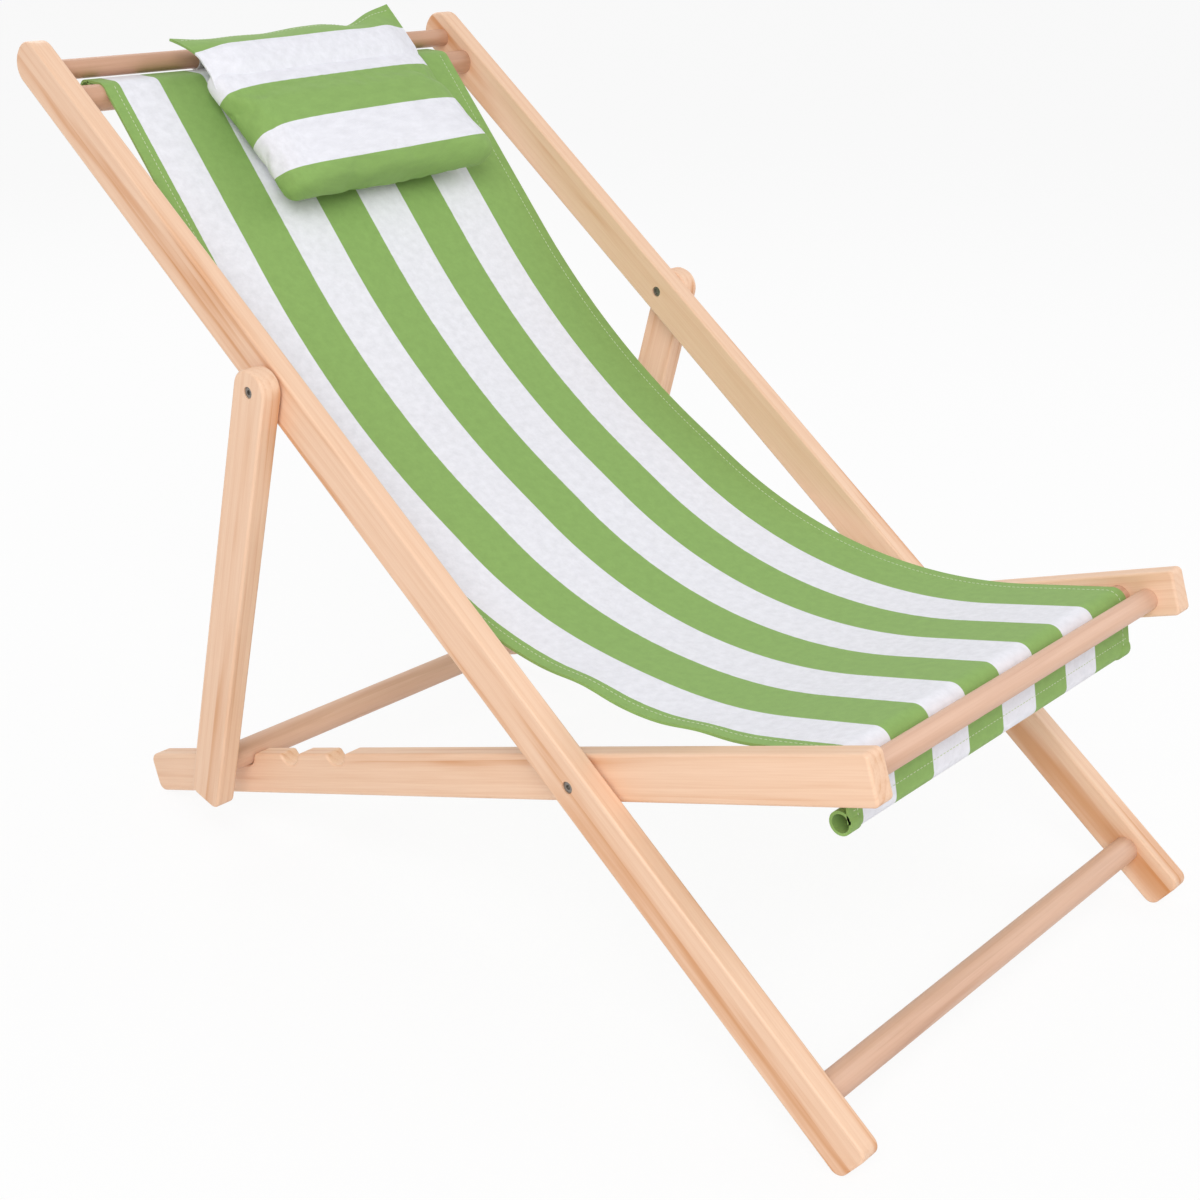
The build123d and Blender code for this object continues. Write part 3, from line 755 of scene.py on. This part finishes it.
def flange_grid(line, pillow, across, up):
    """The flat flange that runs on from the pillow's front over the top bars: its left corner stands up, its
    right corner droops and its edge hangs in soft waves between them."""
    half = pillow.width / 2
    share = (across[None, :] + half) / (2 * half)
    up = up[:, None]
    front = pillow_top(pillow, np.array(-FLANGE_ROOT)) - pillow.swell / 2
    fall = FLANGE_FALL * smooth((np.abs(across[None, :]) - FLANGE_FLAT) / (half - FLANGE_FLAT))
    buried = BURIED * smooth((-BURIED_FROM - up) / BURIED_RUN)
    reach = np.clip((up - FLANGE_BEND) / (pillow.flange - FLANGE_BEND), 0, 1)
    curve = reach ** FLANGE_CURVE
    hang = np.sin(np.pi * share)
    edge = EDGE_RIGHT + EDGE_LEFT_HIGHER * share - EDGE_HANG * hang ** EDGE_HANG_POWER
    edge -= EDGE_DIP * bell(share, DIP_AT, EDGE_DIP_WIDTH)
    out = (front - fall) * (1 - curve) + edge * curve - buried
    out += WAVE_HEIGHT * np.sin(2 * np.pi * WAVES * share + WAVE_START) * reach
    short = SHORT_HANG * hang ** SHORT_HANG_POWER + SHORT_DIP * bell(share, DIP_AT, SHORT_DIP_WIDTH)
    rise = up - short * reach
    bar = UPPER_TOP_BAR - line.top_touch
    clear = radius_of("top_crossbar_upper") + FLANGE_CLEAR
    over_bar = bar.dot(line.out) + np.sqrt(np.clip(clear ** 2 - (rise + bar.dot(line.run)) ** 2, 0, None))
    return np.stack(np.broadcast_arrays(across[None, :], rise, np.maximum(out, over_bar)), axis=-1)


# Sewing

BEAD = {"Segments": 6, "Rings": 4, "Radius": 0.5}


def stitch_tree(thread):
    """Geometry nodes that set one bead of thread after another along a line."""
    tree = bpy.data.node_groups.new("sewn_line", "GeometryNodeTree")
    tree.interface.new_socket("Geometry", in_out="INPUT", socket_type="NodeSocketGeometry")
    for name in ("Pitch", "Stitch", "Thread"):
        tree.interface.new_socket(name, in_out="INPUT", socket_type="NodeSocketFloat")
    tree.interface.new_socket("Geometry", in_out="OUTPUT", socket_type="NodeSocketGeometry")
    entry = add_node(tree, "NodeGroupInput").outputs
    curve = add_node(tree, "GeometryNodeMeshToCurve", {0: entry["Geometry"]}).outputs[0]
    even = add_node(tree, "GeometryNodeResampleCurve", {"Curve": curve, "Length": entry["Pitch"]},
                    mode="LENGTH").outputs[0]
    tangent = add_node(tree, "GeometryNodeInputTangent").outputs[0]
    turn = add_node(tree, "FunctionNodeAlignRotationToVector", {"Vector": tangent}, axis="Z").outputs[0]
    bead = add_node(tree, "GeometryNodeMeshUVSphere", BEAD).outputs[0]
    size = add_node(tree, "ShaderNodeCombineXYZ",
                    {0: entry["Thread"], 1: entry["Thread"], 2: entry["Stitch"]}).outputs[0]
    placed = add_node(tree, "GeometryNodeInstanceOnPoints",
                      {"Points": even, "Instance": bead, "Rotation": turn, "Scale": size}).outputs[0]
    whole = add_node(tree, "GeometryNodeRealizeInstances", {0: placed}).outputs[0]
    dyed = add_node(tree, "GeometryNodeSetMaterial", {"Geometry": whole, "Material": thread}).outputs[0]
    add_node(tree, "NodeGroupOutput", {0: dyed})
    return tree


def sewn(name, lines, tree, stitch):
    """Stitches along lines of points, as one plain mesh."""
    vertices = []
    edges = []
    for line in lines:
        first = len(vertices)
        vertices += line.tolist()
        edges += [(first + at, first + at + 1) for at in range(len(line) - 1)]
    mesh = bpy.data.meshes.new(name)
    mesh.from_pydata(vertices, edges, [])
    piece = in_scene(name, mesh)
    modifier = piece.modifiers.new("stitches", "NODES")
    modifier.node_group = tree
    for socket in tree.interface.items_tree:
        if socket.socket_type == "NodeSocketFloat":
            modifier[socket.identifier] = getattr(stitch, socket.name.lower())
    beads = plain_copy(piece)
    piece.modifiers.clear()
    piece.data = beads
    beads.shade_smooth()
    return piece


# Operators

# Direction of each kind of rail, and how strongly its bands show
RAILS = {"back_rail": (BACK_RUN, 0.7), "seat_rail": (SEAT_RUN, 0.3), "prop_leg": (PROP_RUN, 0.4)}
DOWEL_TURN = (0, 0, -math.pi / 2)
DOWEL_FIGURE = 0.45
# Middle of the rings beside a board, with its steps from board to board
RAIL_PITH = ((26 * MM, 9 * MM), 11 * MM, (34 * MM, -13 * MM))
DOWEL_PITH = ((14 * MM, 5 * MM), 13 * MM, (9 * MM, -6 * MM))


def pith_of(number, pith):
    """The middle of the rings beside a board, at another place for each board."""
    (aside, aside_step), along_step, (below, below_step) = pith
    return aside + aside_step * (number % 3), along_step * number, below + below_step * (number % 4)


def dress(node, material):
    """Put a material in a node's slot."""
    mesh = frame["nodes"][node].data
    mesh.materials.clear()
    mesh.materials.append(material)


class CHAIR_OT_finish_timber(bpy.types.Operator):
    """Give every rail, leg, bar and rod its own board of pine"""

    bl_idname = "chair.finish_timber"
    bl_label = "Finish Timber"

    def execute(self, context):
        pine = context.scene.chair_pine
        number = 0
        for kind, (run, figure) in RAILS.items():
            turn = (math.atan2(run.y, run.x), 0, 0)
            tones = (pine.early_wood, pine.late_wood)
            for side in SIDES:
                node = f"{kind}_{side}"
                number += 1
                pith = pith_of(number, RAIL_PITH)
                dress(node, lacquered_pine("lacquered_pine", node, turn, pith, figure, tones, pine))
        for node in frame["nodes"]:
            if node.endswith("_rod") or "crossbar" in node:
                number += 1
                tones = (pine.dowel_early_wood, pine.dowel_late_wood)
                # The top bars take the darker wood pair, which is painted shade
                if node.startswith("top_"):
                    tones = (pine.top_bar_early_wood, pine.top_bar_late_wood)
                pith = pith_of(number, DOWEL_PITH)
                dress(node, lacquered_pine("turned_pine", node, DOWEL_TURN, pith, DOWEL_FIGURE, tones, pine))
        return {"FINISHED"}


class CHAIR_OT_finish_pivots(bpy.types.Operator):
    """Give the bolts, nuts and washers their plated steel"""

    bl_idname = "chair.finish_pivots"
    bl_label = "Finish Pivots"

    def execute(self, context):
        steel = zinc_plated_steel()
        for node in frame["nodes"]:
            if "_pivot_" in node:
                dress(node, steel)
        return {"FINISHED"}


CLOTH_COLUMNS = 66
# Columns of a side hem, and where its turned part ends, as shares of the hem
HEM_COLUMNS = np.array([0.0, 0.5, 0.92])
HEM_FOLD = 0.95


class CHAIR_OT_sew_sling(bpy.types.Operator):
    """Sew the striped sling over its two bars, with a sleeve at each end"""

    bl_idname = "chair.sew_sling"
    bl_label = "Sew Sling"

    def execute(self, context):
        sling = context.scene.chair_sling
        line = SlingLine(sling)
        half = sling.width / 2
        inner = np.linspace(-half + sling.hem, half - sling.hem, CLOTH_COLUMNS)
        hem = sling.hem * HEM_COLUMNS
        across = np.concatenate([-half + hem, inner, half - hem[::-1]])
        grid = sling_grid(line, sling, across)
        turned_under = np.abs(across) > half - sling.hem * HEM_FOLD
        over = np.full(len(across), sling.thickness / 2)
        under = over + turned_under * sling.thickness
        cloth = np.stack(np.broadcast_arrays(across[None, :] + sling.aside, line.at[:, None]), axis=2)
        canvas = striped_canvas("striped_canvas_sling", sling, sling)
        piece = cloth_shell("sling_cloth", grid, over, under, cloth, canvas)
        bend_with_fold(piece)
        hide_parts("sling")
        return {"FINISHED"}


# The stripes follow the pillow round its lower end and round its sides
ROUND_END_FROM = 100 * MM
ROUND_END_RUN = 50 * MM
ROUND_END_SHARE = 0.6
ROUND_SIDE = 100 * MM
FLANGE_INSET = 6 * MM
FLANGE_ROWS = 22
STRAP_COLUMNS = 9
STRAP_TAIL = 30 * MM
STRAP_OPEN = math.radians(14)


class CHAIR_OT_stuff_pillow(bpy.types.Operator):
    """Blow up the head pillow, sew its flange on and hang it from its straps"""

    bl_idname = "chair.stuff_pillow"
    bl_label = "Stuff Pillow"

    def execute(self, context):
        sling = context.scene.chair_sling
        pillow = context.scene.chair_pillow
        line = SlingLine(sling)
        canvas = striped_canvas("striped_canvas_pillow", pillow, sling)
        self.body(line, pillow, canvas)
        self.flange(line, sling, pillow, canvas)
        for side in SIDES:
            self.strap(line, sling, pillow, side)
        return {"FINISHED"}

    @staticmethod
    def body(line, pillow, canvas):
        """The stuffed part, with the stripes across it."""
        mesh = stuffed(pillow_block(pillow), pillow)
        places = points_of(mesh)
        lower_end = np.clip((-places[:, 1] - ROUND_END_FROM) / ROUND_END_RUN, 0, 1)
        below_top = pillow_top(pillow, places[:, 1]) - places[:, 2]
        down = -places[:, 1] + ROUND_END_SHARE * lower_end * below_top
        round_sides = places[:, 0] - places[:, 2] * np.clip(places[:, 0] / ROUND_SIDE, -1, 1)
        cloth = mesh.attributes.new(CLOTH_MAP, "FLOAT_VECTOR", "POINT")
        cloth.data.foreach_set("vector", np.stack([down, round_sides, places[:, 2] * 0], axis=1).ravel())
        mesh.vertices.foreach_set("co", on_sling(line, askew(pillow, places)).ravel())
        mesh.materials.append(canvas)
        mesh.shade_smooth()
        piece = in_scene("head_pillow", mesh)
        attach(piece, "back_frame")
        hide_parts("pillow")

    @staticmethod
    def flange(line, sling, pillow, canvas):
        """The unfilled edge of the cover above the stuffed part."""
        half = pillow.width / 2 - FLANGE_INSET
        across = np.linspace(-half, half, CLOTH_COLUMNS)
        up = np.linspace(pillow.flange, -FLANGE_ROOT - FLANGE_INSET, FLANGE_ROWS)
        grid = on_sling(line, askew(pillow, flange_grid(line, pillow, across, up)))
        over = np.full(len(across), sling.thickness)
        cloth = np.stack(np.broadcast_arrays(-up[:, None], across[None, :]), axis=2)
        piece = cloth_shell("pillow_flange", grid, over, over, cloth, canvas)
        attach(piece, "back_frame")

    @staticmethod
    def strap(line, sling, pillow, side):
        """Elastic loop round the upper top bar, with its tail between the sling and the pillow."""
        half = pillow.strap_thickness / 2
        loop = radius_of("top_crossbar_upper") + CLOTH_GAP + half
        layer = sling.thickness / 2 + CLOTH_GAP + half
        tail = radius_of("top_crossbar_lower") + CLOTH_GAP + sling.thickness / 2 + layer
        loop_end, bar_start = shared_touch(UPPER_TOP_BAR, loop, LOWER_TOP_BAR, tail, 1)
        bar_end = LOWER_TOP_BAR + (line.top_touch - LOWER_TOP_BAR).normalized() * tail
        tail_end = bar_end + line.run * STRAP_TAIL
        free = UPPER_TOP_BAR + turned(loop_end - UPPER_TOP_BAR, STRAP_OPEN)
        points = arc_points(UPPER_TOP_BAR, free, loop_end, 1) + line_points(loop_end, bar_start)
        points += arc_points(LOWER_TOP_BAR, bar_start, bar_end) + line_points(bar_end, tail_end) + [tail_end]
        route = np.array([tuple(point) for point in points])
        across = np.linspace(-0.5, 0.5, STRAP_COLUMNS) * pillow.strap_width
        middle = centre_of(f"pillow_strap_{side}").x
        grid = np.zeros((len(route), len(across), 3))
        grid[:, :, 0] = middle + across[None, :]
        grid[:, :, 1:] = route[:, None, :]
        along = run_along(route)
        cloth = np.stack(np.broadcast_arrays(across[None, :], along[:, None]), axis=2)
        over = np.full(len(across), half)
        piece = cloth_shell(f"elastic_strap_{side}", grid, over, over, cloth,
                            elastic_webbing(f"elastic_webbing_{side}"))
        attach(piece, "back_frame")
        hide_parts(f"pillow_strap_{side}")


SEAM_POINTS = 60
SLEEVE_SEAM_ROWS = 2
# The side seams as a share of the hem, the flange's seam from its corners and from its edge
SEAM_IN_HEM = 0.75
FLANGE_SEAM_ENDS = 13 * MM
FLANGE_SEAM_AT = 7 * MM
FLANGE_SEAM_STEP = 2 * MM


class CHAIR_OT_sew_seams(bpy.types.Operator):
    """Run the seams of the sling and of the pillow's flange"""

    bl_idname = "chair.sew_seams"
    bl_label = "Sew Seams"

    def execute(self, context):
        sling = context.scene.chair_sling
        pillow = context.scene.chair_pillow
        stitch = context.scene.chair_stitch
        line = SlingLine(sling)
        tree = stitch_tree(sewing_thread())
        seams = sewn("sling_seams", self.sling_lines(line, sling), tree, stitch)
        bend_with_fold(seams)
        edge = sewn("pillow_seams", self.flange_lines(line, sling, pillow), tree, stitch)
        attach(edge, "back_frame")
        return {"FINISHED"}

    @staticmethod
    def sling_lines(line, sling):
        """A line along each side hem, and one above the hem sleeve."""
        over = np.concatenate([np.zeros((len(line.points), 1)), line.normals], axis=1) * sling.thickness / 2
        lines = []
        for sign in SIDES.values():
            place = sign * (sling.width / 2 - sling.hem * SEAM_IN_HEM)
            run = slice(line.free_from, line.hem_from)
            lines.append(sling_grid(line, sling, np.array([place]))[run, 0] + over[run])
        across = np.linspace(-0.5, 0.5, SEAM_POINTS) * (sling.width - sling.hem)
        row = line.hem_from - SLEEVE_SEAM_ROWS
        lines.append(sling_grid(line, sling, across)[row] + over[row])
        return lines

    @staticmethod
    def flange_lines(line, sling, pillow):
        """A line along the flange's free edge."""
        across = np.linspace(-0.5, 0.5, SEAM_POINTS) * (pillow.width - 2 * FLANGE_SEAM_ENDS)
        rows = pillow.flange - FLANGE_SEAM_AT + np.array([1, 0, -1]) * FLANGE_SEAM_STEP
        grid = on_sling(line, askew(pillow, flange_grid(line, pillow, across, rows)))
        return [grid[1] + sheet_normals(grid)[1] * sling.thickness]


# Place, size and power of each soft box
LAMPS = {
    "key_light": ((-2.5, -2.0, 2.5), 2.4, 90),
    "fill_light": ((2.4, -1.4, 2.0), 2.2, 24),
    "back_light": ((0.6, 2.6, 2.4), 2.0, 25),
}
FLOOR_REACH = 30.0
FLOOR_WHITE = 0.9
WORLD_LIGHT = 0.44
CAMERA_LENS = 53.55
CAMERA_PLACE = (-1.1654, -1.0357, 0.8861)
CAMERA_AIM = (-0.0987, -0.0823, 0.3024)
CAMERA_ROLL = math.radians(0.209)


def seen(tree):
    """1 for a ray that the eye sees, straight or in a gloss, else 0."""
    ray = add_node(tree, "ShaderNodeLightPath").outputs
    return maths(tree, "MAXIMUM", ray["Is Camera Ray"], ray["Is Glossy Ray"])


def aimed(name, data, place, target, roll=0.0):
    """A lamp or camera in the scene that looks at a place."""
    piece = in_scene(name, data)
    piece.location = place
    piece.rotation_mode = "QUATERNION"
    turn = Matrix.Rotation(roll, 3, "Z").to_quaternion()
    piece.rotation_quaternion = (Vector(target) - piece.location).to_track_quat("-Z", "Y") @ turn
    return piece


class CHAIR_OT_set_stage(bpy.types.Operator):
    """Set the floor, the soft lights and the camera"""

    bl_idname = "chair.set_stage"
    bl_label = "Set Stage"

    def execute(self, context):
        scene = context.scene
        scene.view_settings.view_transform = "Standard"
        self.floor()
        self.world(scene)
        for name, (place, size, power) in LAMPS.items():
            light = bpy.data.lights.new(name, "AREA")
            light.size = size
            light.energy = power
            aimed(name, light, place, (0, *PIVOT))
        camera = bpy.data.cameras.new("camera")
        camera.lens = CAMERA_LENS
        scene.camera = aimed("camera", camera, CAMERA_PLACE, CAMERA_AIM, CAMERA_ROLL)
        return {"FINISHED"}

    @staticmethod
    def floor():
        """Pale matt floor, drawn partly as plain white to the eye, so that only the shadow shows."""
        material, tree, shader = new_material("pale_floor")
        feed(tree, shader, {"Base Color": linear("#F4F4F4"), "Roughness": 0.9})
        share = maths(tree, "MULTIPLY", seen(tree), FLOOR_WHITE)
        white = add_node(tree, "ShaderNodeEmission", {"Strength": 1.0}).outputs[0]
        both = add_node(tree, "ShaderNodeMixShader", {0: share, 1: shader.outputs[0], 2: white})
        output = next(node for node in tree.nodes if node.type == "OUTPUT_MATERIAL")
        feed(tree, output, {"Surface": both.outputs[0]})
        far = FLOOR_REACH
        corners = [(-far, -far, 0), (far, -far, 0), (far, far, 0), (-far, far, 0)]
        mesh_piece("floor", corners, [(0, 1, 2, 3)], material)

    @staticmethod
    def world(scene):
        """White behind the chair, and a plain grey light all round it."""
        world = bpy.data.worlds.new("studio")
        scene.world = world
        world.use_nodes = True
        tree = world.node_tree
        tree.nodes.clear()
        light = ranged(tree, seen(tree), low=WORLD_LIGHT)
        sky = add_node(tree, "ShaderNodeBackground", {"Color": (1, 1, 1, 1), "Strength": light})
        add_node(tree, "ShaderNodeOutputWorld", {"Surface": sky.outputs[0]})


OPERATORS = [
    CHAIR_OT_finish_timber,
    CHAIR_OT_finish_pivots,
    CHAIR_OT_sew_sling,
    CHAIR_OT_stuff_pillow,
    CHAIR_OT_sew_seams,
    CHAIR_OT_set_stage,
]
SETTINGS = {
    "chair_pine": ChairPineSettings,
    "chair_sling": ChairSlingSettings,
    "chair_pillow": ChairPillowSettings,
    "chair_stitch": ChairStitchSettings,
}


class CHAIR_PT_panel(bpy.types.Panel):
    """Steps that dress the chair, and the settings they read"""

    bl_idname = "CHAIR_PT_panel"
    bl_label = "Folding Beach Chair"
    bl_space_type = "VIEW_3D"
    bl_region_type = "UI"
    bl_category = "Beach Chair"

    def draw(self, context):
        for operator in OPERATORS:
            self.layout.operator(operator.bl_idname)
        for name in SETTINGS:
            group = getattr(context.scene, name)
            box = self.layout.box()
            for key in group.__annotations__:
                box.prop(group, key)


def register():
    """Register the settings, the operators and the panel."""
    for name, group in SETTINGS.items():
        bpy.utils.register_class(group)
        setattr(bpy.types.Scene, name, PointerProperty(type=group))
    for operator in OPERATORS:
        bpy.utils.register_class(operator)
    bpy.utils.register_class(CHAIR_PT_panel)


def unregister():
    """Undo register."""
    bpy.utils.unregister_class(CHAIR_PT_panel)
    for operator in reversed(OPERATORS):
        bpy.utils.unregister_class(operator)
    for name, group in SETTINGS.items():
        delattr(bpy.types.Scene, name)
        bpy.utils.unregister_class(group)


def main():
    """Dress the chair piece by piece."""
    register()
    bpy.ops.chair.finish_timber()
    bpy.ops.chair.finish_pivots()
    bpy.ops.chair.sew_sling()
    bpy.ops.chair.stuff_pillow()
    bpy.ops.chair.sew_seams()
    bpy.ops.chair.set_stage()


if __name__ == "__main__":
    main()
